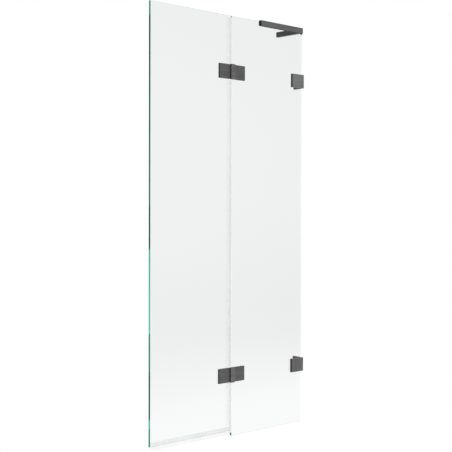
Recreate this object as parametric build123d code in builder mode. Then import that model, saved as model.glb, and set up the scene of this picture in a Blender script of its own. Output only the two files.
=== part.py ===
from build123d import *

import math
import os

os.makedirs("parts", exist_ok=True)

# Two glass panels in line: one fixed to the wall, one that swings on two hinges.
# Origin: on the wall, on the glass's mid-plane, level with the foot of the fixed glass.
# +X points into the wall, +Y to the shower side, +Z up. Millimetres.

# Glass panels
screen_height = 1500.0
swing_width = 371.0
fixed_width = 373.0
glass_thickness = 8.0
glass_arris = 0.6
panel_gap = 6.0
wall_gap = 4.0
swing_lift = 18.0

# Fixing of metal to glass
gasket = 1.0
gasket_inset = 1.0
glass_bush_wall = 4.0
glass_hole_clearance = 0.1
screw_radius = 2.5
screw_head_radius = 4.6
screw_clearance = 0.1
screw_engagement = 4.2
screw_socket_radius = 1.7
screw_socket_depth = 1.4
tapped_clearance = 0.01

# Hinges between the panels
hinge_head_inset = 200.0
hinge_foot_inset = 201.5
hinge_offset = 2.0
leaf_reach = 62.5
leaf_height = 52.0
leaf_thickness = 7.5
leaf_chamfer = 0.5
fold_gap = 1.0
knuckle_width = 20.0
knuckle_front = 5.0
knuckle_heel = 2.0
knuckle_round = 2.0
knuckle_clearance = 0.8
knuckle_cap = 1.0
cap_spigot = 3.0
pin_radius = 2.5
bush_wall = 1.0
bush_set_back = 0.1
thrust_washer = 1.0
washer_inset = 0.6
running_clearance = 0.05
press_clearance = 0.01
notch_margin = 2.3
notch_end_clearance = 0.3
notch_corner_radius = 3.0
hinge_screw_reach = 30.0
hinge_screw_spacing = 22.0
rear_plate_reach = 45.0
rear_plate_height = 42.0
rear_plate_thickness = 4.0
rear_plate_gap = 3.0

# Brackets between the fixed glass and the wall
bracket_front_width = 63.0
bracket_height = 51.0
bracket_front_thickness = 10.0
bracket_chamfer = 0.6
angle_thickness = 6.0
angle_glass_leg = 30.0
angle_wall_leg = 33.0
bracket_screw_reach = 18.0
bracket_screw_spacing = 26.0
wall_hole_radius = 2.75
wall_hole_head_radius = 5.4
wall_hole_spacing = 26.0
wall_hole_reach = 20.0

# Stabiliser along the glass head and along the wall
channel_length = 227.0
channel_wall_gap = 1.5
channel_leg = 2.25
channel_height = 19.5
channel_rise = 5.4
liner_side = 0.5
liner_top = 1.5
end_cap_thickness = 2.0
plug_drop = 4.5
plug_taper = 1.0
wall_bar_width = 12.0
wall_bar_length = 117.25
wall_bar_chamfer = 0.5
bar_hole_radius = 2.75
bar_hole_seat = 4.0
bar_access_radius = 5.0
bar_hole_spacing = 60.0
bar_cap_thickness = 1.5
joint_screw_radius = 2.0
joint_screw_head_radius = 3.2
joint_screw_head = 0.9
joint_screw_length = 12.0
joint_screw_spacing = 7.4

# Clear seals
seal_wall = 1.0
seal_flap = 14.0
seal_running_gap = 0.3
seal_head_inset = 4.0
seal_foot_height = 12.0
seal_joint_gap = 0.3
bulb_wall = 0.8
bulb_corner_radius = 1.6
drip_fin_drop = 12.5
drip_fin_thickness = 0.8
drip_lip_reach = 5.0
drip_lip_drop = 3.0

# Places that follow from the sizes
glass_face = glass_thickness / 2
fixed_right = -wall_gap
fixed_left = fixed_right - fixed_width
swing_right = fixed_left - panel_gap
swing_left = swing_right - swing_width
hinge_levels = {
    "lower": swing_lift + hinge_foot_inset,
    "upper": screen_height - hinge_head_inset,
}
hinge_standoff = gasket + leaf_thickness + fold_gap / 2
axis_x = swing_right + panel_gap / 2 - hinge_offset
axis_y = -glass_face - hinge_standoff
leaf_back = -(leaf_thickness + fold_gap / 2)
knuckle_sweep = knuckle_round + math.hypot(
    knuckle_width / 2 - knuckle_round, knuckle_front - knuckle_round
)
knuckle_start = thrust_washer / 2
knuckle_length = leaf_height / 2 - knuckle_start
leaf_root = knuckle_sweep + knuckle_clearance
notch_reach = knuckle_sweep + notch_margin
notch_height = leaf_height + 2 * (knuckle_cap + notch_end_clearance)
bush_radius = pin_radius + running_clearance + bush_wall
glass_bush_radius = screw_radius + screw_clearance + glass_bush_wall
glass_hole_radius = glass_bush_radius + glass_hole_clearance
rear_face = glass_face + gasket + rear_plate_thickness
leaf_back_y = -glass_face - gasket
angle_back = glass_face + gasket + angle_thickness
channel_top = screen_height + channel_rise
channel_bottom = channel_top - channel_height
channel_right = -channel_wall_gap
channel_left = channel_right - channel_length
channel_face = glass_face + liner_side + channel_leg
slot_top = screen_height + liner_top
bar_middle_z = channel_top - channel_height / 2
bar_hole_middle = channel_face + wall_bar_length / 2

SWING_SIDE = -1
FIXED_SIDE = 1


def finish(piece, label):
    """Labels a finished piece and writes it under that name."""
    piece.label = label
    export_step(piece, f"parts/{label}.step")


def side_plane(level, side):
    """Plane square to a hinge axis: x runs along the leaf, y to the room, z to the own knuckle."""
    return Plane(origin=(axis_x, axis_y, level), x_dir=(side, 0, 0), z_dir=(0, 0, -side))


def upright_plane(y):
    """Plane parallel to the glass at y, with its normal to the room."""
    return Plane.XZ.offset(-y)


def hinge_screw_points(level, side):
    """Middle of each screw of one hinge half, as x and z."""
    x = axis_x + side * hinge_screw_reach
    return [(x, level - hinge_screw_spacing / 2), (x, level + hinge_screw_spacing / 2)]


def bracket_screw_points(level):
    """Middle of each clamp screw of one wall bracket, as x and z."""
    x = fixed_right - bracket_screw_reach
    return [(x, level - bracket_screw_spacing / 2), (x, level + bracket_screw_spacing / 2)]


def rounds(points, face_y, radius):
    """Sketch of a circle at each point, on the upright plane at face_y."""
    with BuildSketch(upright_plane(face_y)) as circles:
        with Locations(*points):
            Circle(radius)
    return circles.sketch


def cut_round(points, face_y, depth, radius):
    """Cuts round holes from face_y towards the room."""
    extrude(rounds(points, face_y, radius), amount=depth, mode=Mode.SUBTRACT)


def cut_screw_seats(points, face_y, depth):
    """Cuts countersunk through holes for the clamp screws from their head side."""
    cut_round(points, face_y, depth, screw_radius + screw_clearance)
    seats = rounds(points, face_y, screw_head_radius + screw_clearance)
    extrude(seats, amount=screw_head_radius - screw_radius, taper=45, mode=Mode.SUBTRACT)


def upright_slab(x_low, x_high, y_low, y_high, level, height):
    """Adds a plate that stands parallel to the glass, centred on level."""
    with BuildSketch(upright_plane(y_high)) as outline:
        with Locations(((x_low + x_high) / 2, level)):
            Rectangle(x_high - x_low, height)
    extrude(outline.sketch, amount=y_high - y_low)


def clamp_screws(points, head_y, tip_y, label):
    """Countersunk screws with a hexagon socket, heads on the shower side."""
    with BuildPart() as screws:
        with BuildSketch(upright_plane(head_y)):
            with Locations(*points):
                Circle(screw_head_radius)
        extrude(amount=screw_head_radius - screw_radius, taper=45)
        with BuildSketch(upright_plane(head_y)):
            with Locations(*points):
                Circle(screw_radius)
        extrude(amount=head_y - tip_y)
        with BuildSketch(upright_plane(head_y)):
            with Locations(*points):
                RegularPolygon(screw_socket_radius, 6)
        extrude(amount=screw_socket_depth, mode=Mode.SUBTRACT)
    finish(screws.part, label)


def glass_bushes(points, label):
    """Bushes that keep the screws off the edge of their holes in the glass."""
    with BuildPart() as bushes:
        with BuildSketch(upright_plane(glass_face)):
            with Locations(*points):
                Circle(glass_bush_radius)
                Circle(screw_radius + screw_clearance, mode=Mode.SUBTRACT)
        extrude(amount=glass_thickness)
    finish(bushes.part, label)


def glass_panel(x_low, x_high, z_low, hinge_edge, side, hole_points, label):
    """Toughened glass with its hinge notches, screw holes and polished arris."""
    with BuildPart() as glass:
        with BuildSketch(upright_plane(glass_face)) as outline:
            with Locations(((x_low + x_high) / 2, (z_low + screen_height) / 2)):
                Rectangle(x_high - x_low, screen_height - z_low)
            notch_depth = notch_reach - abs(hinge_edge - axis_x)
            for level in hinge_levels.values():
                with Locations((hinge_edge + side * notch_depth / 2, level)):
                    Rectangle(notch_depth, notch_height, mode=Mode.SUBTRACT)
            inner = hinge_edge + side * notch_depth
            fillet(
                outline.vertices().filter_by(lambda v: abs(v.X - inner) < glass_arris),
                notch_corner_radius,
            )
            with Locations(*hole_points):
                Circle(glass_hole_radius, mode=Mode.SUBTRACT)
        extrude(amount=glass_thickness)
        chamfer(glass.faces().filter_by(Axis.Y).edges(), glass_arris)
    finish(glass.part, label)


# Glass panels
swing_points = []
fixed_points = []
wall_points = []
for level in hinge_levels.values():
    swing_points += hinge_screw_points(level, SWING_SIDE)
    fixed_points += hinge_screw_points(level, FIXED_SIDE)
    wall_points += bracket_screw_points(level)
glass_panel(
    swing_left, swing_right, swing_lift, swing_right, SWING_SIDE, swing_points, "swing_glass"
)
glass_panel(
    fixed_left, fixed_right, 0.0, fixed_left, FIXED_SIDE, fixed_points + wall_points, "fixed_glass"
)


def knuckle_section():
    """Draws a knuckle's section about the hinge axis, rounded at its front corners."""
    with Locations((0, -knuckle_heel)):
        block = Rectangle(
            knuckle_width, knuckle_front + knuckle_heel, align=(Align.CENTER, Align.MIN)
        )
    fillet(block.vertices().group_by(Axis.Y)[-1], knuckle_round)
    Circle(knuckle_front)


def hinge_leaf(level, side, bore_radius, label):
    """Leaf on the room side of the glass, with its knuckle on half of the hinge's height."""
    plane = side_plane(level, side)
    with BuildPart() as leaf:
        with BuildSketch(plane.offset(-leaf_height / 2)):
            with Locations((leaf_root, leaf_back)):
                Rectangle(
                    leaf_reach - leaf_root, leaf_thickness, align=(Align.MIN, Align.MIN)
                )
        extrude(amount=leaf_height)
        outer = axis_x + side * leaf_reach
        chamfer(
            leaf.faces().sort_by(Axis.Y)[0].edges().filter_by(
                lambda e: e.geom_type == GeomType.LINE
                and (abs(e.tangent_at(0).X) > 0.9 or abs(e.center().X - outer) < leaf_chamfer)
            ),
            leaf_chamfer,
        )
        with BuildSketch(plane.offset(knuckle_start)):
            knuckle_section()
            with Locations((0, leaf_back)):
                Rectangle(leaf_root, leaf_thickness, align=(Align.MIN, Align.MIN))
        extrude(amount=knuckle_length)
        with BuildSketch(plane.offset(knuckle_start)):
            Circle(bore_radius)
        extrude(amount=knuckle_length, mode=Mode.SUBTRACT)
        cut_round(
            hinge_screw_points(level, side),
            leaf_back_y,
            screw_engagement + tapped_clearance,
            screw_radius + tapped_clearance,
        )
    finish(leaf.part, label)


def hinge_cap(level, side, bore_radius, label):
    """Cover over the end of a knuckle's bore, with a spigot that plugs it."""
    plane = side_plane(level, side)
    with BuildPart() as cap:
        with BuildSketch(plane.offset(leaf_height / 2)):
            knuckle_section()
        extrude(amount=knuckle_cap)
        with BuildSketch(plane.offset(leaf_height / 2)):
            Circle(bore_radius - press_clearance)
        extrude(amount=-cap_spigot)
    finish(cap.part, label)


def hinge_pin(level, name):
    """Pin fixed in the lower knuckle, with the upper knuckle's bush turning on it."""
    with BuildPart() as pin:
        pin_half = leaf_height / 2 - cap_spigot
        with BuildSketch(Plane(origin=(axis_x, axis_y, level - pin_half))):
            Circle(pin_radius)
        extrude(amount=2 * pin_half)
        chamfer(pin.faces().filter_by(Axis.Z).edges(), leaf_chamfer)
    finish(pin.part, f"{name}_hinge_pin")


def hinge_bearings(level, name):
    """Bush inside the upper knuckle, set back a little so that the knuckle rides on the washer."""
    with BuildPart() as bush:
        with BuildSketch(Plane(origin=(axis_x, axis_y, level + knuckle_start + bush_set_back))):
            Circle(bush_radius)
            Circle(pin_radius + running_clearance, mode=Mode.SUBTRACT)
        extrude(amount=knuckle_length - bush_set_back - cap_spigot)
    finish(bush.part, f"{name}_hinge_bush")
    with BuildPart() as washer:
        with BuildSketch(Plane(origin=(axis_x, axis_y, level - knuckle_start))):
            Circle(knuckle_front - washer_inset)
            Circle(pin_radius + running_clearance, mode=Mode.SUBTRACT)
        extrude(amount=thrust_washer)
    finish(washer.part, f"{name}_hinge_washer")


def hinge_rear_plate(level, side, label):
    """Plate on the shower side that the screws pull against the glass."""
    ends = sorted((axis_x + side * rear_plate_gap / 2, axis_x + side * rear_plate_reach))
    with BuildPart() as plate:
        upright_slab(*ends, glass_face + gasket, rear_face, level, rear_plate_height)
        chamfer(plate.faces().sort_by(Axis.Y)[-1].edges(), leaf_chamfer)
        cut_screw_seats(hinge_screw_points(level, side), rear_face, rear_plate_thickness)
    finish(plate.part, label)


def hinge_gaskets(side, label):
    """Soft sheets between the metal and the glass, front and rear, on both hinges."""
    inner = axis_x + side * (notch_reach + gasket_inset)
    front = sorted((inner, axis_x + side * (leaf_reach - gasket_inset)))
    rear = sorted((inner, axis_x + side * (rear_plate_reach - gasket_inset)))
    front_height = leaf_height - 2 * gasket_inset
    rear_height = rear_plate_height - 2 * gasket_inset
    with BuildPart() as sheets:
        for level in hinge_levels.values():
            upright_slab(*front, leaf_back_y, -glass_face, level, front_height)
            upright_slab(*rear, glass_face, glass_face + gasket, level, rear_height)
            cut_round(
                hinge_screw_points(level, side),
                glass_face + gasket,
                glass_thickness + 2 * gasket,
                screw_radius + screw_clearance,
            )
    finish(sheets.part, label)


# Hinges: the upper knuckle belongs to the swing leaf, the lower one to the fixed leaf
pin_bore = pin_radius + press_clearance
bush_bore = bush_radius + press_clearance
for name, level in hinge_levels.items():
    hinge_leaf(level, SWING_SIDE, bush_bore, f"{name}_hinge_swing_leaf")
    hinge_leaf(level, FIXED_SIDE, pin_bore, f"{name}_hinge_fixed_leaf")
    hinge_cap(level, SWING_SIDE, bush_bore, f"{name}_hinge_top_cap")
    hinge_cap(level, FIXED_SIDE, pin_bore, f"{name}_hinge_bottom_cap")
    hinge_pin(level, name)
    hinge_bearings(level, name)
    hinge_rear_plate(level, SWING_SIDE, f"{name}_hinge_swing_rear_plate")
    hinge_rear_plate(level, FIXED_SIDE, f"{name}_hinge_fixed_rear_plate")

screw_tip = leaf_back_y - screw_engagement
halves = {"swing": (SWING_SIDE, swing_points), "fixed": (FIXED_SIDE, fixed_points)}
for half, (side, points) in halves.items():
    hinge_gaskets(side, f"{half}_hinge_gaskets")
    clamp_screws(points, rear_face, screw_tip, f"{half}_hinge_screws")
    glass_bushes(points, f"{half}_hinge_glass_bushes")


def bracket_front(level, label):
    """Plate on the room side of the glass, flush with the glass's edge at the wall."""
    plate_left = fixed_right - bracket_front_width
    front_y = leaf_back_y - bracket_front_thickness
    with BuildPart() as plate:
        upright_slab(plate_left, fixed_right, front_y, leaf_back_y, level, bracket_height)
        chamfer(plate.faces().sort_by(Axis.Y)[0].edges(), bracket_chamfer)
        cut_round(
            bracket_screw_points(level),
            leaf_back_y,
            screw_engagement + tapped_clearance,
            screw_radius + tapped_clearance,
        )
    finish(plate.part, label)


def bracket_angle(level, label):
    """Angle behind the glass: one leg clamps the glass, the other is screwed to the wall."""
    hole_y = glass_face + gasket + wall_hole_reach
    hole_planes = [
        Plane(origin=(-angle_thickness, hole_y, z), z_dir=(1, 0, 0))
        for z in (level - wall_hole_spacing / 2, level + wall_hole_spacing / 2)
    ]
    with BuildPart() as angle:
        with BuildSketch(Plane.XY.offset(level - bracket_height / 2)):
            with Locations((0, glass_face + gasket)):
                Rectangle(angle_glass_leg, angle_thickness, align=(Align.MAX, Align.MIN))
                Rectangle(angle_thickness, angle_wall_leg, align=(Align.MAX, Align.MIN))
        extrude(amount=bracket_height)
        chamfer(angle.faces().sort_by(Axis.Y)[-1].edges().filter_by(Axis.Z), bracket_chamfer)
        cut_screw_seats(bracket_screw_points(level), angle_back, angle_thickness)
        with BuildSketch(*hole_planes):
            Circle(wall_hole_radius)
        extrude(amount=angle_thickness, mode=Mode.SUBTRACT)
        with BuildSketch(*hole_planes):
            Circle(wall_hole_head_radius)
        extrude(amount=wall_hole_head_radius - wall_hole_radius, taper=45, mode=Mode.SUBTRACT)
    finish(angle.part, label)


def bracket_gaskets(label):
    """Soft sheets on both faces of the glass under the wall brackets."""
    with BuildPart() as sheets:
        for level in hinge_levels.values():
            right = fixed_right - gasket_inset
            height = bracket_height - 2 * gasket_inset
            front_left = fixed_right - bracket_front_width + gasket_inset
            upright_slab(front_left, right, leaf_back_y, -glass_face, level, height)
            rear_left = gasket_inset - angle_glass_leg
            upright_slab(rear_left, right, glass_face, glass_face + gasket, level, height)
            cut_round(
                bracket_screw_points(level),
                glass_face + gasket,
                glass_thickness + 2 * gasket,
                screw_radius + screw_clearance,
            )
    finish(sheets.part, label)


# Wall brackets, level with the hinges
for name, level in hinge_levels.items():
    bracket_front(level, f"{name}_bracket_front_plate")
    bracket_angle(level, f"{name}_bracket_angle")
bracket_gaskets("bracket_gaskets")
clamp_screws(wall_points, angle_back, screw_tip, "bracket_screws")
glass_bushes(wall_points, "bracket_glass_bushes")


def channel_section(bottom):
    """Draws the channel's section in the YZ plane, open at the bottom over the glass."""
    with Locations((0, channel_top)):
        Rectangle(2 * channel_face, channel_top - bottom, align=(Align.CENTER, Align.MAX))
    slot_width = 2 * (channel_face - channel_leg)
    with Locations((0, slot_top)):
        Rectangle(slot_width, slot_top - bottom, align=(Align.CENTER, Align.MAX), mode=Mode.SUBTRACT)


joint_middle_z = (slot_top + channel_bottom) / 2
joint_points = [
    (-wall_bar_width / 2, joint_middle_z - joint_screw_spacing / 2),
    (-wall_bar_width / 2, joint_middle_z + joint_screw_spacing / 2),
]
slot_face = channel_face - channel_leg

with BuildPart() as channel:
    with BuildSketch(Plane.YZ.offset(channel_left)):
        channel_section(channel_bottom)
    extrude(amount=channel_length)
    with BuildSketch(Plane.XZ.offset(-slot_face)):
        with Locations(*joint_points):
            Circle(joint_screw_radius + screw_clearance)
    extrude(amount=-channel_leg, mode=Mode.SUBTRACT)
    with BuildSketch(Plane.XZ.offset(-slot_face)):
        with Locations(*joint_points):
            Circle(joint_screw_head_radius + screw_clearance)
    extrude(amount=-joint_screw_head, mode=Mode.SUBTRACT)
finish(channel.part, "stabiliser_channel")

with BuildPart() as end_cap:
    with BuildSketch(Plane.YZ.offset(channel_left)):
        channel_section(channel_bottom)
    extrude(amount=-end_cap_thickness)
    chamfer(end_cap.faces().sort_by(Axis.X)[0].edges().filter_by(Axis.Z), wall_bar_chamfer)
finish(end_cap.part, "stabiliser_end_cap")

with BuildPart() as liner:
    liner_half = glass_face + liner_side
    with BuildSketch(Plane.YZ.offset(channel_left)):
        with Locations((0, slot_top)):
            Rectangle(2 * liner_half, slot_top - channel_bottom, align=(Align.CENTER, Align.MAX))
        with Locations((0, screen_height)):
            Rectangle(
                glass_thickness,
                screen_height - channel_bottom,
                align=(Align.CENTER, Align.MAX),
                mode=Mode.SUBTRACT,
            )
    extrude(amount=fixed_right - channel_left)
finish(liner.part, "stabiliser_liner")

with BuildPart() as plug:
    plug_bottom = channel_bottom - plug_drop
    plug_half = (channel_right - fixed_right - seal_running_gap) / 2
    plug_middle = channel_right - plug_half
    with BuildSketch(Plane.XZ.offset(-slot_face)):
        with BuildLine():
            Polyline(
                (plug_middle - plug_half, slot_top),
                (plug_middle + plug_half, slot_top),
                (plug_middle + plug_half, channel_bottom),
                (plug_middle + plug_half - plug_taper, plug_bottom),
                (plug_middle - plug_half, plug_bottom),
                close=True,
            )
        make_face()
    extrude(amount=2 * slot_face)
finish(plug.part, "stabiliser_wall_plug")

with BuildPart() as wall_bar:
    with BuildSketch(Plane.XZ.offset(-channel_face)):
        with Locations((0, channel_top)):
            Rectangle(wall_bar_width, channel_height, align=(Align.MAX, Align.MAX))
    extrude(amount=-wall_bar_length)
    chamfer(wall_bar.faces().sort_by(Axis.Y)[-1].edges(), wall_bar_chamfer)
    bar_planes = [
        Plane(origin=(-wall_bar_width, y, bar_middle_z), z_dir=(1, 0, 0))
        for y in (bar_hole_middle - bar_hole_spacing / 2, bar_hole_middle + bar_hole_spacing / 2)
    ]
    with BuildSketch(*bar_planes):
        Circle(bar_hole_radius)
    extrude(amount=wall_bar_width, mode=Mode.SUBTRACT)
    with BuildSketch(*bar_planes):
        Circle(bar_access_radius)
    extrude(amount=wall_bar_width - bar_hole_seat, mode=Mode.SUBTRACT)
    with BuildSketch(Plane.XZ.offset(-channel_face)):
        with Locations(*joint_points):
            Circle(joint_screw_radius + tapped_clearance)
    extrude(amount=-joint_screw_length, mode=Mode.SUBTRACT)
finish(wall_bar.part, "stabiliser_wall_bar")

with BuildPart() as bar_caps:
    with BuildSketch(*bar_planes):
        Circle(bar_access_radius - press_clearance)
    extrude(amount=bar_cap_thickness)
finish(bar_caps.part, "stabiliser_bar_caps")

with BuildPart() as joint_screws:
    with BuildSketch(Plane.XZ.offset(-slot_face)):
        with Locations(*joint_points):
            Circle(joint_screw_head_radius)
    extrude(amount=-joint_screw_head)
    with BuildSketch(Plane.XZ.offset(-slot_face)):
        with Locations(*joint_points):
            Circle(joint_screw_radius)
    extrude(amount=-joint_screw_length)
finish(joint_screws.part, "stabiliser_joint_screws")

# Clear seals
seal_face = glass_face + seal_wall
bulb_tip = fixed_left - seal_running_gap
seal_top = screen_height - seal_head_inset
drip_carrier_top = swing_lift + seal_flap


def vertical_seal(z_low, z_high, label):
    """Clip-on seal on the swing glass's hinge edge, with a hollow bulb across the gap."""
    flap_low = max(z_low, drip_carrier_top + seal_joint_gap)
    with BuildPart() as seal:
        with BuildSketch(Plane.XY.offset(flap_low)):
            with Locations((swing_right, 0)):
                Rectangle(seal_flap, 2 * seal_face, align=(Align.MAX, Align.CENTER))
                Rectangle(
                    seal_flap, glass_thickness, align=(Align.MAX, Align.CENTER), mode=Mode.SUBTRACT
                )
        extrude(amount=z_high - flap_low)
        with BuildSketch(Plane.XY.offset(z_low)) as bulb:
            with Locations((swing_right, 0)):
                Rectangle(bulb_tip - swing_right, 2 * seal_face, align=(Align.MIN, Align.CENTER))
            fillet(bulb.vertices().group_by(Axis.X)[-1], bulb_corner_radius)
            with Locations((swing_right + seal_wall, 0)):
                Rectangle(
                    bulb_tip - swing_right - seal_wall - bulb_wall,
                    2 * (seal_face - bulb_wall),
                    align=(Align.MIN, Align.CENTER),
                    mode=Mode.SUBTRACT,
                )
        extrude(amount=z_high - z_low)
    finish(seal.part, label)


half_stop = notch_height / 2 + seal_joint_gap
vertical_seal(seal_foot_height, hinge_levels["lower"] - half_stop, "vertical_seal_bottom")
vertical_seal(
    hinge_levels["lower"] + half_stop, hinge_levels["upper"] - half_stop, "vertical_seal_middle"
)
vertical_seal(hinge_levels["upper"] + half_stop, seal_top, "vertical_seal_top")

with BuildPart() as drip_seal:
    with BuildSketch(Plane.YZ.offset(swing_left)):
        with Locations((0, swing_lift - seal_wall)):
            Rectangle(2 * seal_face, seal_flap + seal_wall, align=(Align.CENTER, Align.MIN))
        with Locations((0, swing_lift)):
            Rectangle(
                glass_thickness, seal_flap, align=(Align.CENTER, Align.MIN), mode=Mode.SUBTRACT
            )
        with Locations((0, swing_lift - seal_wall)):
            Rectangle(drip_fin_thickness, drip_fin_drop, align=(Align.CENTER, Align.MAX))
        with BuildLine():
            lip_root = (seal_face, swing_lift)
            lip_tip = (seal_face + drip_lip_reach, swing_lift - seal_wall - drip_lip_drop)
            Polyline(
                lip_root,
                lip_tip,
                (lip_tip[0] - drip_fin_thickness, lip_tip[1]),
                (seal_face - drip_fin_thickness, swing_lift - seal_wall),
                (seal_face - drip_fin_thickness, swing_lift),
                close=True,
            )
        make_face()
    extrude(amount=swing_width)
finish(drip_seal.part, "drip_seal")
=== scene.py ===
"""Looks of a two-panel bath screen: clear glass, brushed anthracite hardware, clear vinyl seals."""

import logging
import math
from dataclasses import dataclass, field
from enum import Enum
from typing import Optional, Sequence, Union

import bmesh
import bpy
from mathutils import Matrix, Vector


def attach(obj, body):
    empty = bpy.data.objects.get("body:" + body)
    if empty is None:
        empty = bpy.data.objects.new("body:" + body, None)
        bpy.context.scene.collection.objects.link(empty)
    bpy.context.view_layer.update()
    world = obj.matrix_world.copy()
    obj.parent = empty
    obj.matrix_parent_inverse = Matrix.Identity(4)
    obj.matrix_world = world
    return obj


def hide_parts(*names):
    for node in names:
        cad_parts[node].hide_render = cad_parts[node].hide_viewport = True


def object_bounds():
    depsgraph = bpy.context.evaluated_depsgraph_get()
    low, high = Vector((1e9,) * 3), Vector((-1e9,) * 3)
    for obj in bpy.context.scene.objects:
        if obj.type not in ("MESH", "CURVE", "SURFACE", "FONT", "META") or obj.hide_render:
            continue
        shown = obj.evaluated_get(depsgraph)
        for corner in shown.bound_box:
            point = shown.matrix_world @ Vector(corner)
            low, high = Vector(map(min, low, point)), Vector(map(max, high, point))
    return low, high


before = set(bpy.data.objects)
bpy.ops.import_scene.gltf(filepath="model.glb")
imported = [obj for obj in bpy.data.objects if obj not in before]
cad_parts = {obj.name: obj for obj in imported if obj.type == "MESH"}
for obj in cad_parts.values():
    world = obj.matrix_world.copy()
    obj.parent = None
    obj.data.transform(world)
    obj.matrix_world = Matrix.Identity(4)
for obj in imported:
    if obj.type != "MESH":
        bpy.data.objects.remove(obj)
cad_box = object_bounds()

log = logging.getLogger("bath_screen")
MM = 0.001
# The part of a noise's 0 to 1 that a firm or a soft change is spread over
FIRM = (0.35, 0.65)
SOFT = (0.3, 0.7)
Number = Union[int, float]
Colour = tuple[float, float, float]
Place = tuple[float, float, float]
WHITE: Colour = (1.0, 1.0, 1.0)


def linear(red: int, green: int, blue: int) -> Colour:
    """Turns a display colour of 0 to 255 into a linear one.

    Args:
        red: Display value of red.
        green: Display value of green.
        blue: Display value of blue.

    Returns:
        The same colour with linear values from 0 to 1.
    """
    shares = (red / 255, green / 255, blue / 255)
    return tuple(s / 12.92 if s <= 0.04045 else ((s + 0.055) / 1.055) ** 2.4 for s in shares)


class Body(Enum):
    """The two rigid bodies of the screen."""

    FIXED = "fixed_side"
    SWING = "swing_panel"


class Grain(Enum):
    """The direction that metal was brushed in."""

    ALONG_X = (1.0, 0.0, 0.0)
    ALONG_Y = (0.0, 1.0, 0.0)
    ALONG_Z = (0.0, 0.0, 1.0)


class Slot(Enum):
    """The material slots that the record names."""

    GLASS = "clear_glass"
    METAL = "anthracite_metal"
    VINYL = "clear_vinyl"
    RUBBER = "gasket_rubber"
    NYLON = "white_nylon"
    PLASTIC = "anthracite_plastic"
    STEEL = "stainless_steel"


class Signal:
    """A shader socket that takes part in Python arithmetic."""

    def __init__(self, wiring: "Wiring", socket: Optional[bpy.types.NodeSocket]) -> None:
        """Keeps the wiring that the socket belongs to, and the socket."""
        self.wiring = wiring
        self.socket = socket

    def _math(self, operation: str, *terms: Union["Signal", Number]) -> "Signal":
        """Adds a Math node for an operation on these terms."""
        return self.wiring.node("ShaderNodeMath", {"operation": operation}, dict(enumerate(terms)))

    def __add__(self, other: Union["Signal", Number]) -> "Signal":
        """Sum of two signals."""
        return self._math("ADD", self, other)

    def __radd__(self, other: Number) -> "Signal":
        """Sum of a number and this signal."""
        return self._math("ADD", other, self)

    def __sub__(self, other: Union["Signal", Number]) -> "Signal":
        """Difference of two signals."""
        return self._math("SUBTRACT", self, other)

    def __rsub__(self, other: Number) -> "Signal":
        """A number less this signal."""
        return self._math("SUBTRACT", other, self)

    def __mul__(self, other: Union["Signal", Number]) -> "Signal":
        """Product of two signals."""
        return self._math("MULTIPLY", self, other)

    def __rmul__(self, other: Number) -> "Signal":
        """Product of a number and this signal."""
        return self._math("MULTIPLY", other, self)

    def __pow__(self, other: Number) -> "Signal":
        """This signal raised to a power."""
        return self._math("POWER", self, other)

    def clamped(self) -> "Signal":
        """This signal held between 0 and 1."""
        return self.wiring.node("ShaderNodeClamp", {}, {0: self})


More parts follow.
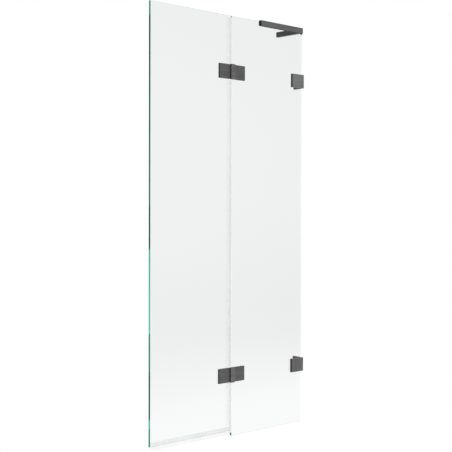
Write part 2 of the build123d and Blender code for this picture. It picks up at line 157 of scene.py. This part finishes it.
class Wiring:
    """The node tree of one material or world, with one method that adds every node."""

    def __init__(self, tree: bpy.types.NodeTree) -> None:
        """Empties the tree so that it holds only what is added here."""
        self.tree = tree
        self.tree.nodes.clear()

    def node(self, kind: str, settings: dict, inputs: dict, output: Union[int, str] = 0) -> Signal:
        """Adds a node, sets it up and feeds its sockets.

        Args:
            kind: Blender's name of the node's type.
            settings: Values of the node's own settings; "stops" is a colour ramp's list.
            inputs: Socket name or number to a value or a signal.
            output: Name or number of the socket that is wanted.

        Returns:
            The wanted output as a signal, empty for a node that only takes inputs in.
        """
        made = self.tree.nodes.new(kind)
        for name, value in settings.items():
            if name == "stops":
                self._ramp(made.color_ramp, value)
            else:
                setattr(made, name, value)
        for name, value in inputs.items():
            if isinstance(value, Signal):
                self.tree.links.new(value.socket, made.inputs[name])
            else:
                made.inputs[name].default_value = value
        return Signal(self, made.outputs[output] if made.outputs else None)

    @staticmethod
    def _ramp(ramp: bpy.types.ColorRamp, stops: Sequence[tuple[float, Colour]]) -> None:
        """Sets a colour ramp's stops.

        Args:
            ramp: The ramp, still with its first stops.
            stops: Each stop's place on the ramp and its colour.
        """
        while len(ramp.elements) < len(stops):
            ramp.elements.new(1.0)
        for element, (place, colour) in zip(ramp.elements, stops):
            element.position = place
            element.color = (*colour, 1.0)

    def noise(self, scale: Sequence[float], detail: float, offset: float = 0.0) -> Signal:
        """Noise on object coordinates.

        Args:
            scale: Cells per metre along X, Y and Z.
            detail: Octaves of finer noise.
            offset: Shift that makes one noise differ from another.

        Returns:
            The noise's value, about 0 to 1.
        """
        place = self.node("ShaderNodeTexCoord", {}, {}, "Object")
        shift = (offset, offset, offset)
        mapped = self.node("ShaderNodeMapping", {}, {"Vector": place, "Location": shift, "Scale": scale})
        return self.node(
            "ShaderNodeTexNoise", {}, {"Vector": mapped, "Scale": 1.0, "Detail": detail}, "Fac"
        )

    def along(self, axis: str) -> Signal:
        """The object coordinate along X, Y or Z, in metres."""
        place = self.node("ShaderNodeTexCoord", {}, {}, "Object")
        return self.node("ShaderNodeSeparateXYZ", {}, {0: place}, axis)

    def outside(self) -> Signal:
        """1 where a face is seen from outside the solid, and 0 from within."""
        return 1 - self.node("ShaderNodeNewGeometry", {}, {}, "Backfacing")

    def mix(self, share: Signal, first: Union[Colour, Signal], second: Union[Colour, Signal]) -> Signal:
        """Mixes two colours.

        Args:
            share: Share of the second colour, 0 to 1.
            first: Colour at share 0.
            second: Colour at share 1.

        Returns:
            The mixed colour.
        """
        ends = [end if isinstance(end, Signal) else (*end, 1.0) for end in (first, second)]
        settings = {"data_type": "RGBA"}
        return self.node("ShaderNodeMix", settings, {0: share, 6: ends[0], 7: ends[1]}, 2)

    def range(self, value: Signal, low: float, high: float, to_low: float, to_high: float) -> Signal:
        """Maps a signal from one range to another, held at both ends."""
        inputs = {0: value, 1: low, 2: high, 3: to_low, 4: to_high}
        return self.node("ShaderNodeMapRange", {"clamp": True}, inputs)

    def share(self, value: Signal, low: float, high: float) -> Signal:
        """How far a signal has come from low to high, 0 to 1."""
        return self.range(value, low, high, 0.0, 1.0)

    def ramp(self, share: Signal, levels: Sequence[tuple[float, float]]) -> Signal:
        """Turns a share into a grey level by a list of places and levels."""
        stops = [(place, (level, level, level)) for place, level in levels]
        return self.node("ShaderNodeValToRGB", {"stops": stops}, {0: share}, "Color")

    def bump(self, height: Signal, distance: float) -> Signal:
        """Turns a height into a shading normal."""
        return self.node("ShaderNodeBump", {}, {"Height": height, "Distance": distance}, "Normal")

    def principled(self, inputs: dict) -> Signal:
        """Adds a Principled shader with these inputs."""
        return self.node("ShaderNodeBsdfPrincipled", {}, inputs)

    def surface(self, shader: Signal) -> None:
        """Joins a shader to the material's output."""
        self.node("ShaderNodeOutputMaterial", {}, {"Surface": shader})


def new_material(name: str) -> tuple[bpy.types.Material, Wiring]:
    """Makes an empty material.

    Args:
        name: Name of the material.

    Returns:
        The material and the wiring that fills it.
    """
    made = bpy.data.materials.new(name)
    made.use_nodes = True
    return made, Wiring(made.node_tree)


class Finish:
    """A material that is made once and then shared."""

    label: str

    def material(self) -> bpy.types.Material:
        """Finds the finish's material, or makes it on first use.

        Returns:
            The one material of this finish.
        """
        name = f"{self.label}_finish"
        found = bpy.data.materials.get(name)
        if found is None:
            found, wiring = new_material(name)
            self.wire(wiring)
        return found

    def wire(self, wiring: Wiring) -> None:
        """Adds the finish's nodes, which each kind of finish has of its own."""
        raise NotImplementedError


@dataclass(frozen=True)
class BrushedAnthracite(Finish):
    """Dark coated metal, brushed one way, with soft streaks that show from a step away.

    Its front, at front_y, gets painted light and the sides behind it painted shade, by depth.
    A knuckle that stands out further, to knuckle_y, gets a painted highlight on top.
    """

    piece: str = "plain"
    grain: Grain = Grain.ALONG_X
    # Painted light and shade factors on the colour: front, sides behind it, and knuckle highlight
    front_painted_light_shade: float = 1.0
    side_painted_light_shade: float = 1.0
    front_y: float = 0.0
    knuckle_painted_highlight: float = 1.0
    knuckle_y: float = -18.0 * MM
    dark: Colour = linear(88, 89, 89)
    light: Colour = linear(113, 113, 112)
    metallic: float = 0.85
    rough: tuple[float, float] = (0.34, 0.5)
    relief: float = 0.1 * MM
    streak_length: float = 14.0
    streak_width: float = 600.0
    hair_width: float = 2600.0
    cloud_scale: float = 22.0
    tone_parts: tuple[float, float, float] = (0.55, 0.25, 0.2)
    relief_parts: tuple[float, float] = (0.6, 0.4)
    hair_shift: float = 3.7
    cloud_shift: float = 9.1
    contrast: tuple[float, float] = (0.36, 0.64)
    arris: tuple[float, float] = (0.2 * MM, 0.6 * MM)
    ridge: tuple[float, float] = (0.2 * MM, 2.0 * MM)

    @property
    def label(self) -> str:
        """Name of the material of this piece."""
        return f"brushed_anthracite_{self.piece}"

    def _scale(self, across: float) -> tuple[float, ...]:
        """Noise scale that is long with the grain and narrow across it."""
        return tuple(self.streak_length if axis else across for axis in self.grain.value)

    def _paint_light_and_shade(self, wiring: Wiring) -> Signal:
        """Works out the painted light and shade on the coating at each depth behind the front.

        Args:
            wiring: The material's node tree.

        Returns:
            The painted light and shade factor on the coating's colour.
        """
        depth = wiring.along("Y")
        arris = (self.front_y + step for step in self.arris)
        ridge = (self.knuckle_y + step for step in self.ridge)
        painted_sides = wiring.range(depth, *arris, self.front_painted_light_shade, self.side_painted_light_shade)
        return painted_sides * wiring.range(depth, *ridge, self.knuckle_painted_highlight, 1.0)

    def wire(self, wiring: Wiring) -> None:
        """Lets streaks set the colour and roughness, and fine hairlines the bump; painted light and shade
        scale the colour.

        Args:
            wiring: The material's node tree.
        """
        streaks = wiring.noise(self._scale(self.streak_width), 2.0)
        hairs = wiring.noise(self._scale(self.hair_width), 1.0, self.hair_shift)
        cloud = wiring.noise((self.cloud_scale,) * 3, 2.0, self.cloud_shift)
        streaky, hairy, cloudy = self.tone_parts
        tone = wiring.share(streaks * streaky + hairs * hairy + cloud * cloudy, *self.contrast)
        coarse, fine = self.relief_parts
        # painted light and shade: the colour is scaled by depth, lighter at the front and knuckle, darker
        # at the sides
        coat_and_painted_light = {0: wiring.mix(tone, self.dark, self.light), "Scale": self._paint_light_and_shade(wiring)}
        inputs = {
            "Base Color": wiring.node("ShaderNodeVectorMath", {"operation": "SCALE"}, coat_and_painted_light),
            "Metallic": self.metallic,
            "Roughness": wiring.range(streaks + hairs * 0.5, 0.5, 1.0, *self.rough),
            "Normal": wiring.bump(streaks * coarse + hairs * fine, self.relief),
        }
        wiring.surface(wiring.principled(inputs))


@dataclass(frozen=True)
class ClearSheet(Finish):
    """The wide faces of toughened glass, with the faint green of plain float glass.

    The sheet counts as thin: what is behind it isn't shifted, and its outer face mirrors for
    both faces.
    """

    label = "clear_glass_sheet"
    tint: Colour = (0.9695, 0.9783, 0.9742)
    smear: Colour = (0.9665, 0.9752, 0.9711)
    smear_scale: Place = (1.6, 1.6, 0.9)
    index: float = 1.55
    both_faces: float = 1.9

    def wire(self, wiring: Wiring) -> None:
        """Mixes what comes through the sheet, faintly smeared, with what it mirrors.

        Args:
            wiring: The material's node tree.
        """
        drift = wiring.share(wiring.noise(self.smear_scale, 1.0), *FIRM)
        tint = wiring.mix(drift, self.tint, self.smear)
        through = wiring.node("ShaderNodeBsdfTransparent", {}, {"Color": tint})
        mirror = wiring.principled({"Base Color": (*WHITE, 1.0), "Metallic": 1.0, "Roughness": 0.0})
        once = wiring.node("ShaderNodeFresnel", {}, {"IOR": self.index})
        mirrored = (once * self.both_faces * wiring.outside()).clamped()
        wiring.surface(wiring.node("ShaderNodeMixShader", {}, {0: mirrored, 1: through, 2: mirror}))


@dataclass(frozen=True)
class PolishedEdge(Finish):
    """The edge of the glass, where light that runs through the sheet comes out green.

    The deep green is the edge's own look; lit stretches along the sheet's height are painted light in its
    colour. An edge under a seal has a low cover, apart from its bare ends, which lie beyond two heights in
    metres.
    """

    label: str = "polished_glass_edge"
    cover: float = 1.0
    bare: tuple[float, float] = (10.0 * MM, 1496.5 * MM)
    bare_fade: float = 0.5 * MM
    gloss: float = 0.12
    index: float = 1.5
    sheet_height: float = 1500.0 * MM
    deep: Colour = linear(2, 52, 41)
    mid: Colour = linear(4, 70, 56)
    painted_glow: Colour = linear(82, 206, 188)
    shade_scale: Place = (6.0, 6.0, 9.0)
    polish_scale: Place = (900.0, 900.0, 60.0)
    polish: tuple[float, float] = (0.08, 0.2)
    # Painted light levels by share of the height: the lit and dark stretches of the edge
    painted_light_stretches: tuple[tuple[float, float], ...] = (
        (0.0, 0.38),
        (0.052, 0.4),
        (0.054, 0.9),
        (0.070, 0.9),
        (0.0715, 0.15),
        (0.175, 0.08),
        (0.177, 0.34),
        (0.262, 0.36),
        (0.264, 1.0),
        (0.449, 0.72),
        (0.452, 0.1),
        (0.547, 0.08),
        (0.549, 0.28),
        (0.965, 0.0),
        (0.973, 0.4),
        (1.0, 0.4),
    )

    def _covered(self, wiring: Wiring, height: Signal) -> Signal:
        """Works out how much of the edge shows at each height.

        Args:
            wiring: The material's node tree.
            height: The height in metres.

        Returns:
            The edge's cover, full at its bare ends.
        """
        low, high = self.bare
        below = 1 - wiring.share(height, low, low + self.bare_fade)
        bare = (below + wiring.share(height, high, high + self.bare_fade)).clamped()
        return bare * (1 - self.cover) + self.cover

    def wire(self, wiring: Wiring) -> None:
        """Makes it deep green with painted lit stretches outside, and clear from inside.

        Args:
            wiring: The material's node tree.
        """
        height = wiring.along("Z")
        # painted light: bright glow mixed in by height stands in for light carried through the glass
        painted_lit = wiring.ramp(wiring.share(height, 0.0, self.sheet_height), self.painted_light_stretches)
        shade = wiring.share(wiring.noise(self.shade_scale, 2.0), *FIRM)
        inputs = {
            "Base Color": wiring.mix(painted_lit, wiring.mix(shade, self.deep, self.mid), self.painted_glow),
            "Roughness": wiring.range(wiring.noise(self.polish_scale, 1.0), *SOFT, *self.polish),
            "Specular IOR Level": self.gloss,
            "IOR": self.index,
            "Alpha": wiring.outside() * self._covered(wiring, height),
        }
        wiring.surface(wiring.principled(inputs))


@dataclass(frozen=True)
class ClearVinyl(Finish):
    """Flexible clear vinyl, a little milky, as pushed onto the glass for seals."""

    label: str = "clear_vinyl"
    body: Colour = linear(206, 209, 208)
    haze: Colour = linear(188, 192, 191)
    cover: float = 0.055
    cover_drift: float = 0.2
    rim: float = 0.2
    rim_falloff: float = 4.0
    index: float = 1.5
    flow_scale: Place = (9.0, 9.0, 1.5)
    rough: tuple[float, float] = (0.18, 0.32)

    def wire(self, wiring: Wiring) -> None:
        """Lets nearly all light straight through; a rim seen edge-on is milkier.

        Args:
            wiring: The material's node tree.
        """
        flow = wiring.noise(self.flow_scale, 1.0)
        edge_on = wiring.node("ShaderNodeLayerWeight", {}, {"Blend": 0.5}, "Facing")
        thin, thick = (self.cover * (1 + drift) for drift in (-self.cover_drift, self.cover_drift))
        inputs = {
            "Base Color": wiring.mix(wiring.share(flow, *FIRM), self.body, self.haze),
            "Roughness": wiring.range(flow, *SOFT, *self.rough),
            "IOR": self.index,
            "Alpha": edge_on**self.rim_falloff * self.rim + wiring.range(flow, *SOFT, thin, thick),
        }
        wiring.surface(wiring.principled(inputs))


@dataclass(frozen=True)
class PlainFinish(Finish):
    """A quiet material of small pieces: two tones, a roughness range and a fine bump."""

    label: str
    dark: Colour
    light: Colour
    rough: tuple[float, float]
    metallic: float = 0.0
    speck: Place = (700.0, 700.0, 700.0)
    relief: float = 0.04 * MM

    def wire(self, wiring: Wiring) -> None:
        """Puts a fine grain in the colour, roughness and bump.

        Args:
            wiring: The material's node tree.
        """
        grain = wiring.noise(self.speck, 3.0)
        inputs = {
            "Base Color": wiring.mix(wiring.share(grain, *SOFT), self.dark, self.light),
            "Metallic": self.metallic,
            "Roughness": wiring.range(grain, *SOFT, *self.rough),
            "Normal": wiring.bump(grain, self.relief),
        }
        wiring.surface(wiring.principled(inputs))


SHEET = ClearSheet()
FREE_EDGE = PolishedEdge()
# The joint edge gets its own painted glow colour
JOINT_EDGE = PolishedEdge("joint_glass_edge", 0.07, painted_glow=linear(52, 204, 178))
VINYL = ClearVinyl()
DRIP_VINYL = ClearVinyl("clear_drip_vinyl", cover=0.085, rim=0.12)
RUBBER = PlainFinish("gasket_rubber", linear(34, 35, 35), linear(48, 49, 49), (0.6, 0.8))
GREY_NYLON = PlainFinish("grey_nylon", linear(52, 53, 53), linear(66, 67, 67), (0.5, 0.6))
NYLON = PlainFinish("natural_nylon", linear(214, 214, 208), linear(228, 228, 224), (0.4, 0.5))
CAP_PLASTIC = PlainFinish("anthracite_plastic", linear(38, 42, 42), linear(50, 54, 53), (0.45, 0.55))
STEEL = PlainFinish(
    "stainless_steel",
    linear(150, 151, 152),
    linear(182, 183, 184),
    (0.22, 0.36),
    metallic=1.0,
    speck=(500.0, 2500.0, 500.0),
)


def dress(node: str, finish: Finish) -> None:
    """Gives a node of the frame its finish.

    Args:
        node: The node's name.
        finish: Its finish.
    """
    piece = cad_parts[node]
    piece.data.materials.clear()
    piece.data.materials.append(finish.material())
    log.info("dressed %s as %s", node, finish.label)


def link(name: str, data: bpy.types.ID) -> bpy.types.Object:
    """Makes an object at the origin from a mesh, lamp or camera.

    Args:
        name: Name of the object.
        data: What the object shows.

    Returns:
        The new object, linked to the scene.
    """
    made = bpy.data.objects.new(name, data)
    bpy.context.scene.collection.objects.link(made)
    return made


def new_piece(name: str, mesh: bmesh.types.BMesh, *materials: bpy.types.Material) -> bpy.types.Object:
    """Makes an object at the origin from a bmesh.

    Args:
        name: Name of the piece.
        mesh: The finished bmesh, which is freed.
        *materials: One material per material index.

    Returns:
        The new object, linked to the scene.
    """
    data = bpy.data.meshes.new(name)
    mesh.to_mesh(data)
    mesh.free()
    for material in materials:
        data.materials.append(material)
    log.info("made %s with %d faces", name, len(data.polygons))
    return link(name, data)


@dataclass(frozen=True)
class Panel:
    """One panel: its node, its body and the way that its edge away from the joint faces."""

    node: str
    body: Body
    free_side: Place


@dataclass
class GlassPanels:
    """The two glass panels, each with clear faces and green polished edges."""

    panels: tuple[Panel, ...] = (
        Panel("swing_glass", Body.SWING, (-1.0, 0.0, 0.0)),
        Panel("fixed_glass", Body.FIXED, (1.0, 0.0, 0.0)),
    )
    finishes: tuple[Finish, ...] = (SHEET, FREE_EDGE, JOINT_EDGE)
    merge: float = 0.01 * MM
    flat: float = 0.99
    leaning: float = 0.5
    straight: float = math.radians(1)

    def build(self) -> None:
        """Makes both panels."""
        for panel in self.panels:
            self._panel(panel)

    def _finish_of(self, face: bmesh.types.BMFace, panel: Panel, ends: tuple[float, float]) -> Finish:
        """Chooses the finish of one face.

        Args:
            face: The face.
            panel: The panel that it belongs to.
            ends: The panel's lowest and highest level.

        Returns:
            The sheet's, the free edge's or the joint edge's finish.
        """
        at_end = any(abs(face.calc_center_median().z - end) < self.merge for end in ends)
        if abs(face.normal.y) > self.flat:
            return SHEET
        if at_end or face.normal.dot(Vector(panel.free_side)) > self.leaning:
            return FREE_EDGE
        return JOINT_EDGE

    def _panel(self, panel: Panel) -> None:
        """Makes one panel from its node's mesh, merged into plain faces.

        Args:
            panel: The panel.
        """
        mesh = bmesh.new()
        mesh.from_mesh(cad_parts[panel.node].data)
        bmesh.ops.remove_doubles(mesh, verts=mesh.verts, dist=self.merge)
        bmesh.ops.dissolve_limit(mesh, angle_limit=self.straight, verts=mesh.verts, edges=mesh.edges)
        levels = [vert.co.z for vert in mesh.verts]
        ends = (min(levels), max(levels))
        for face in mesh.faces:
            face.smooth = False
            face.material_index = self.finishes.index(self._finish_of(face, panel, ends))
        materials = [finish.material() for finish in self.finishes]
        piece = new_piece(f"{panel.node}_panel", mesh, *materials)
        piece.visible_shadow = False
        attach(piece, panel.body.value)
        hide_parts(panel.node)


@dataclass
class Seals:
    """Clear vinyl seals: three lengths at the joint and one under the swing panel."""

    joint_stretches: tuple[str, ...] = ("top", "middle", "bottom")

    def build(self) -> None:
        """Dresses the seals."""
        finishes: dict[str, Finish] = {f"vertical_seal_{name}": VINYL for name in self.joint_stretches}
        finishes["drip_seal"] = DRIP_VINYL
        for node, finish in finishes.items():
            dress(node, finish)
            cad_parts[node].visible_shadow = False


@dataclass
class Hinges:
    """Two glass-to-glass hinges, which keep the frame's own solids."""

    levels: tuple[str, ...] = ("lower", "upper")
    leaf_front: float = -12.5 * MM

    def build(self) -> None:
        """Dresses both hinges and what clamps them to the glass."""
        # painted light and shade: front near its colour, sides darkened by painted shade, knuckle given a
        # painted highlight
        metal = BrushedAnthracite(
            "hinge", front_painted_light_shade=0.97, side_painted_light_shade=0.66, front_y=self.leaf_front, knuckle_painted_highlight=1.25
        )
        rear_metal = BrushedAnthracite("rear_plate")
        for level in self.levels:
            for part in ("swing_leaf", "fixed_leaf", "top_cap", "bottom_cap"):
                dress(f"{level}_hinge_{part}", metal)
            for part in ("swing_rear_plate", "fixed_rear_plate"):
                dress(f"{level}_hinge_{part}", rear_metal)
            dress(f"{level}_hinge_pin", STEEL)
            dress(f"{level}_hinge_bush", NYLON)
            dress(f"{level}_hinge_washer", GREY_NYLON)
        for half in ("swing", "fixed"):
            dress(f"{half}_hinge_screws", STEEL)
            dress(f"{half}_hinge_gaskets", RUBBER)
            dress(f"{half}_hinge_glass_bushes", NYLON)


@dataclass
class WallBrackets:
    """Two wall brackets, the frame's own solids, with painted light making the upper front plate lighter
    than the lower.
    """

    plate_front: float = -15.0 * MM
    # Painted light on each front plate and painted shade on its sides, stronger light on the upper plate
    plate_painted_light_shade: dict[str, tuple[float, float]] = field(
        default_factory=lambda: {"lower": (1.12, 0.76), "upper": (1.55, 0.8)}
    )

    def build(self) -> None:
        """Dresses both brackets and what clamps them to the glass."""
        # painted shade: the whole angle behind the front plate is darkened to half
        angle_metal = BrushedAnthracite("angle", Grain.ALONG_Z, front_painted_light_shade=0.5, side_painted_light_shade=0.5)
        for level, (front_painted_light_shade, side_painted_light_shade) in self.plate_painted_light_shade.items():
            plate_metal = BrushedAnthracite(
                f"{level}_plate", Grain.ALONG_Z, front_painted_light_shade, side_painted_light_shade, self.plate_front
            )
            dress(f"{level}_bracket_front_plate", plate_metal)
            dress(f"{level}_bracket_angle", angle_metal)
        dress("bracket_screws", STEEL)
        dress("bracket_gaskets", RUBBER)
        dress("bracket_glass_bushes", NYLON)


@dataclass
class Stabiliser:
    """The channel over the fixed glass and the bar along the wall, the frame's own solids."""

    channel_front: float = -6.75 * MM

    def build(self) -> None:
        """Dresses the channel, the bar and their caps, liner and screws."""
        # painted light on the channel's front and painted shade on its sides; painted shade dims the whole
        # bar a little
        channel_metal = BrushedAnthracite(
            "channel", front_painted_light_shade=1.1, side_painted_light_shade=0.7, front_y=self.channel_front
        )
        bar_metal = BrushedAnthracite("bar", Grain.ALONG_Y, front_painted_light_shade=0.92, side_painted_light_shade=0.92)
        dress("stabiliser_channel", channel_metal)
        dress("stabiliser_wall_bar", bar_metal)
        for part in ("end_cap", "wall_plug", "bar_caps"):
            dress(f"stabiliser_{part}", CAP_PLASTIC)
        dress("stabiliser_liner", RUBBER)
        dress("stabiliser_joint_screws", STEEL)


@dataclass(frozen=True)
class Flag:
    """A card that only reflections see; its tones run from the lower to the upper edge."""

    name: str
    place: Place
    facing: Place
    size: tuple[float, float]
    tones: tuple[tuple[float, float], ...]


@dataclass(frozen=True)
class Lamp:
    """A broad soft square lamp that mirrors and glass don't show."""

    name: str
    place: Place
    size: float
    watts: float


@dataclass
class Studio:
    """White studio: world, a floor below the bath's rim, soft lamps, dark flags and the camera."""

    camera_place: Place = (-2.85188, -2.54755, 0.79288)
    camera_turn: float = 43.886
    camera_tilt: float = -0.6765
    camera_roll: float = -0.1152
    camera_lens: float = 79.04
    ambient: float = 0.8
    floor_level: float = -0.58
    floor_radius: float = 1.5
    floor_sides: int = 96
    floor_solid: float = 0.35
    floor_gone: float = 0.95
    floor_tone: float = 0.95
    lamp_target: Place = (-0.38, 0.0, 0.75)
    lamps: tuple[Lamp, ...] = (
        Lamp("room_lamp", (-2.2, -3.6, 3.2), 2.4, 60.0),
        Lamp("shower_lamp", (1.2, 3.0, 3.4), 2.4, 35.0),
    )
    flags: tuple[Flag, ...] = (
        Flag(
            "room_flag",
            (6.55, -7.2, 1.0),
            (0.0, 1.0, 0.0),
            (3.4, 6.0),
            (
                (0.0, 1.0),
                (0.045, 0.9),
                (0.09, 0.61),
                (0.135, 0.32),
                (0.185, 0.1),
                (0.243, 0.03),
                (0.3, 0.07),
                (0.38, 0.195),
                (0.5, 0.29),
                (0.64, 0.3),
                (0.78, 0.25),
                (0.85, 0.19),
                (0.96, 0.15),
            ),
        ),
        Flag("shower_flag", (-1.8, 1.6, 0.85), (1.0, 0.0, 0.0), (3.2, 3.6), ((0.0, 0.04), (1.0, 0.04))),
    )

    def build(self) -> None:
        """Sets up everything that isn't the screen itself, and shows colours as they are written."""
        bpy.context.scene.view_settings.view_transform = "Standard"
        self._world()
        self._floor()
        for lamp in self.lamps:
            self._lamp(lamp)
        for flag in self.flags:
            self._flag(flag)
        self._camera()

    def _seen_white(self, wiring: Wiring) -> Signal:
        """Finds the rays that look at the background directly, in a reflection or through glass.

        Args:
            wiring: The world's node tree.

        Returns:
            1 for such a ray, and 0 for one that only lights.
        """
        seen = wiring.node("ShaderNodeLightPath", {}, {}, "Is Camera Ray")
        for name in ("Is Glossy Ray", "Is Transmission Ray"):
            seen = seen + wiring.node("ShaderNodeLightPath", {}, {}, name)
        return seen.clamped()

    def _world(self) -> None:
        """Pure white where it is seen, and a softer level where it only lights."""
        world = bpy.data.worlds.new("studio")
        world.use_nodes = True
        bpy.context.scene.world = world
        wiring = Wiring(world.node_tree)
        strength = self._seen_white(wiring) * (1 - self.ambient) + self.ambient
        background = wiring.node("ShaderNodeBackground", {}, {"Color": (*WHITE, 1.0), "Strength": strength})
        wiring.node("ShaderNodeOutputWorld", {}, {"Surface": background})

    def _floor(self) -> None:
        """A pale floor that fades out into the white background and keeps the shadow."""
        mesh = bmesh.new()
        bmesh.ops.create_circle(mesh, cap_ends=True, segments=self.floor_sides, radius=self.floor_radius)
        middle = (cad_box[0] + cad_box[1]) / 2
        at = Vector((middle.x, middle.y, self.floor_level))
        bmesh.ops.translate(mesh, vec=at, verts=mesh.verts)
        paint, wiring = new_material("pale_floor")
        place = wiring.node("ShaderNodeTexCoord", {}, {}, "Object")
        across = wiring.node("ShaderNodeVectorMath", {"operation": "DISTANCE"}, {0: place, 1: at}, "Value")
        solid, gone = (self.floor_radius * share for share in (self.floor_solid, self.floor_gone))
        fade = wiring.range(across, solid, gone, 1.0, 0.0)
        pale = wiring.node("ShaderNodeBsdfDiffuse", {}, {"Color": (*(self.floor_tone,) * 3, 1.0)})
        clear = wiring.node("ShaderNodeBsdfTransparent", {}, {})
        wiring.surface(wiring.node("ShaderNodeMixShader", {}, {0: fade, 1: clear, 2: pale}))
        new_piece("floor", mesh, paint)

    def _lamp(self, lamp: Lamp) -> None:
        """Hangs one lamp and turns it to the screen's middle.

        Args:
            lamp: The lamp.
        """
        light = bpy.data.lights.new(lamp.name, "AREA")
        light.shape = "SQUARE"
        light.size = lamp.size
        light.energy = lamp.watts
        hung = link(lamp.name, light)
        hung.location = lamp.place
        aim = Vector(self.lamp_target) - Vector(lamp.place)
        hung.rotation_euler = aim.to_track_quat("-Z", "Y").to_euler()
        hung.visible_glossy = False
        hung.visible_transmission = False

    def _flag(self, flag: Flag) -> None:
        """Hangs one card where only mirrored rays meet it.

        Args:
            flag: The card.
        """
        place = Vector(flag.place)
        turn = Vector(flag.facing).to_track_quat("Z", "Y").to_matrix().to_4x4()
        mesh = bmesh.new()
        bmesh.ops.create_grid(mesh, x_segments=1, y_segments=1, size=0.5)
        bmesh.ops.scale(mesh, vec=(*flag.size, 1.0), verts=mesh.verts)
        bmesh.ops.transform(mesh, matrix=Matrix.Translation(place) @ turn, verts=mesh.verts)
        paint, wiring = new_material(f"{flag.name}_tone")
        half = flag.size[1] / 2
        tone = wiring.ramp(wiring.share(wiring.along("Z"), place.z - half, place.z + half), flag.tones)
        wiring.surface(wiring.node("ShaderNodeEmission", {}, {"Color": tone, "Strength": 1.0}))
        card = new_piece(flag.name, mesh, paint)
        card.visible_camera = False
        card.visible_diffuse = False
        card.visible_shadow = False
        card.visible_transmission = False

    def _camera(self) -> None:
        """Places the camera at the photograph's viewing angle."""
        angles = (self.camera_turn, self.camera_tilt, self.camera_roll)
        turn, tilt, roll = (math.radians(angle) for angle in angles)
        ahead = Vector((math.sin(turn) * math.cos(tilt), math.cos(turn) * math.cos(tilt), math.sin(tilt)))
        right = Vector((math.cos(turn), -math.sin(turn), 0.0))
        down = ahead.cross(right)
        level_right = right * math.cos(roll) + down * math.sin(roll)
        level_down = down * math.cos(roll) - right * math.sin(roll)
        optics = bpy.data.cameras.new("photo_camera")
        optics.lens = self.camera_lens
        camera = link("photo_camera", optics)
        columns = Matrix((level_right, -level_down, -ahead)).transposed().to_4x4()
        camera.matrix_world = Matrix.Translation(self.camera_place) @ columns
        bpy.context.scene.camera = camera


def main() -> None:
    """Builds the studio and every part of the screen in order."""
    logging.basicConfig(level=logging.INFO, format="%(name)s: %(message)s")
    for part in (Studio(), GlassPanels(), Seals(), Hinges(), WallBrackets(), Stabiliser()):
        part.build()
        log.info("finished %s", type(part).__name__)


if __name__ == "__main__":
    main()
